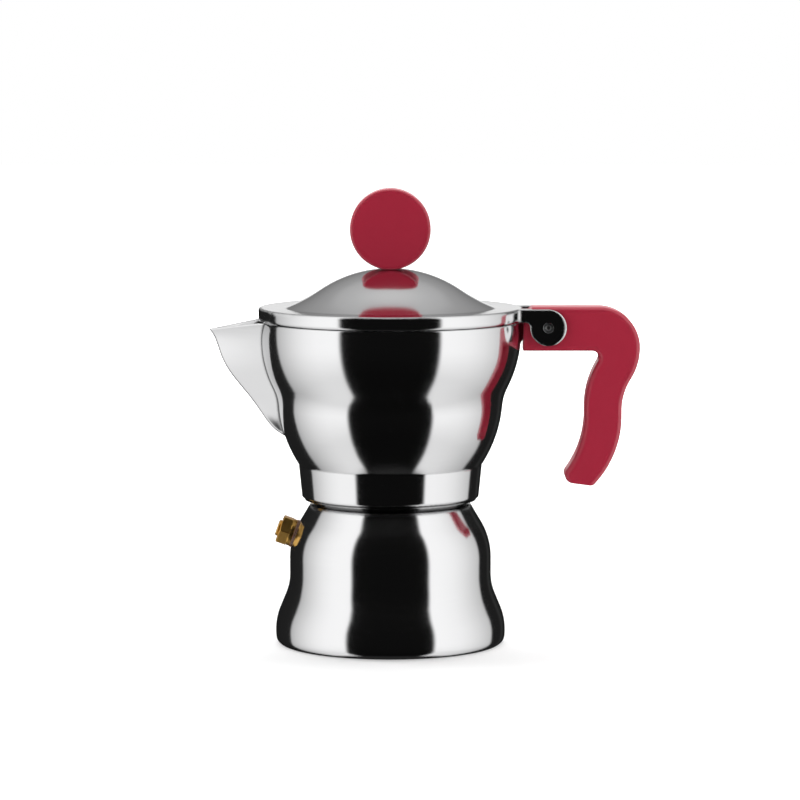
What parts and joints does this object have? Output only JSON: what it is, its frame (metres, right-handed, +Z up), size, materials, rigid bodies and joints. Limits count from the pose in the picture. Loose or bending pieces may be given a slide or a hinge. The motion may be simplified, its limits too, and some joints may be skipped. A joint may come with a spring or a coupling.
{
  "type": "moka pot",
  "caption": "Stovetop moka pot: wavy polished aluminium boiler and collector with a V spout, hinged domed lid, red disc knob and red wavy handle.",
  "frame": {"origin": "centre of the boiler's flat base, on the pot's axis", "axes": "+Z up along the pot's axis, handle towards +X, spout towards -X, the pictured side towards -Y"},
  "size_m": [0.1415, 0.0866, 0.1501],
  "materials": {
    "polished_aluminium": "mirror polished",
    "plain_aluminium": "satin",
    "red_plastic": "satin gloss",
    "brass": "turned",
    "steel": "plain",
    "seal_rubber": "matte"
  },
  "bodies": {
    "boiler": {"boiler": "polished_aluminium", "valve_washer": "seal_rubber", "valve_body": "brass", "valve_spring": "steel", "valve_cap": "brass"},
    "valve_ball": {"valve_ball": "steel"},
    "funnel": {"funnel_cup": "plain_aluminium", "funnel_stem": "plain_aluminium", "lower_filter": "plain_aluminium"},
    "seal_stack": {"gasket": "seal_rubber", "filter_plate": "plain_aluminium"},
    "collector": {"collector": "polished_aluminium", "riser_column": "plain_aluminium", "column_cap": "plain_aluminium", "handle": "red_plastic", "hinge_sleeve": "steel", "hinge_screw": "steel"},
    "lid": {"lid": "polished_aluminium", "lid_knob": "red_plastic", "knob_insert": "brass", "knob_screw": "steel", "knob_washer": "steel"}
  },
  "joints": [
    {"name": "collector_turn", "type": "hinge", "parent": "seal_stack", "child": "collector", "pos_m": [0, 0, 0.052], "axis": [0, 0, 1], "range_deg": [0, 900]},
    {"name": "seal_lift", "type": "slide", "parent": "boiler", "child": "seal_stack", "axis": [0, 0, 1], "range_m": [0, 0.0075]},
    {"name": "funnel_lift", "type": "slide", "parent": "boiler", "child": "funnel", "axis": [0, 0, 1], "range_m": [0, 0.00375]},
    {"name": "lid_hinge", "type": "hinge", "parent": "collector", "child": "lid", "pos_m": [0.0516, 0, 0.1051], "axis": [0, 1, 0], "range_deg": [0, 95]},
    {"name": "valve_lift", "type": "slide", "parent": "boiler", "child": "valve_ball", "axis": [-0.9397, 0, 0.342], "range_m": [0, 0.0008], "stiffness_N_per_m": 200, "springref_m": -0.003, "deforming": ["valve_spring"]}
  ],
  "couplings": [
    {"joint": "seal_lift", "follows": "collector_turn", "m_per_rad": 0.00047746},
    {"joint": "funnel_lift", "follows": "collector_turn", "m_per_rad": 0.00023873}
  ]
}
